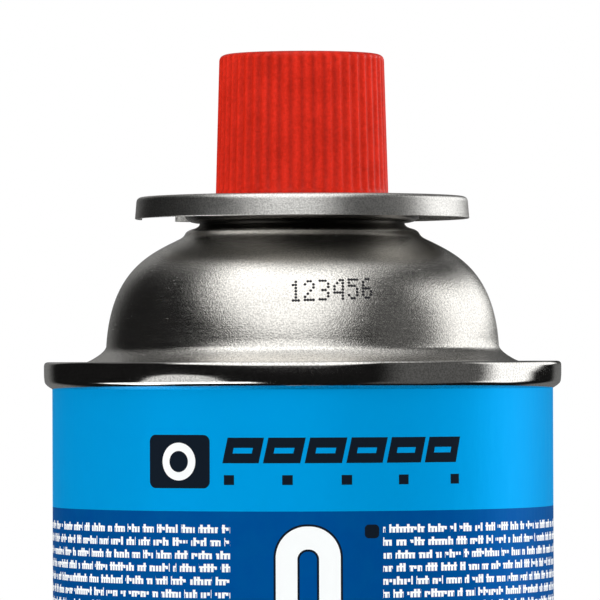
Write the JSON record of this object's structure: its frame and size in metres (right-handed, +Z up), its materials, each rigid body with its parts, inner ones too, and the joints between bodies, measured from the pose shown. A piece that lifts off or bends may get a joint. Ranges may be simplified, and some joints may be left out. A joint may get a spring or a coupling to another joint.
{
  "type": "gas canister",
  "caption": "Slim steel gas canister for a portable stove, with a domed shoulder, a notched flat collar around the valve and a ribbed pull-off cap.",
  "frame": {"origin": "centre of the base, on the surface that the canister stands on", "axes": "+Z up along the axis of the can, -Y towards the front of the print, +X to the right as seen from the front"},
  "size_m": [0.0682, 0.0682, 0.1976],
  "materials": {
    "can": "gloss print on tinplate",
    "valve_cup": "satin tinplate",
    "valve_stem": "plain",
    "cap": "satin"
  },
  "bodies": {
    "can": {"can": "can", "valve_cup": "valve_cup"},
    "stem": {"valve_stem": "valve_stem"},
    "cap": {"cap": "cap"}
  },
  "joints": [
    {"name": "cap_pull", "type": "slide", "parent": "can", "child": "cap", "axis": [0, 0, 1], "range_m": [0, 0.03]},
    {"name": "stem_press", "type": "slide", "parent": "can", "child": "stem", "axis": [0, 0, 1], "range_m": [-0.0015, 0], "stiffness_N_per_m": 1500, "springref_m": 0.002}
  ]
}
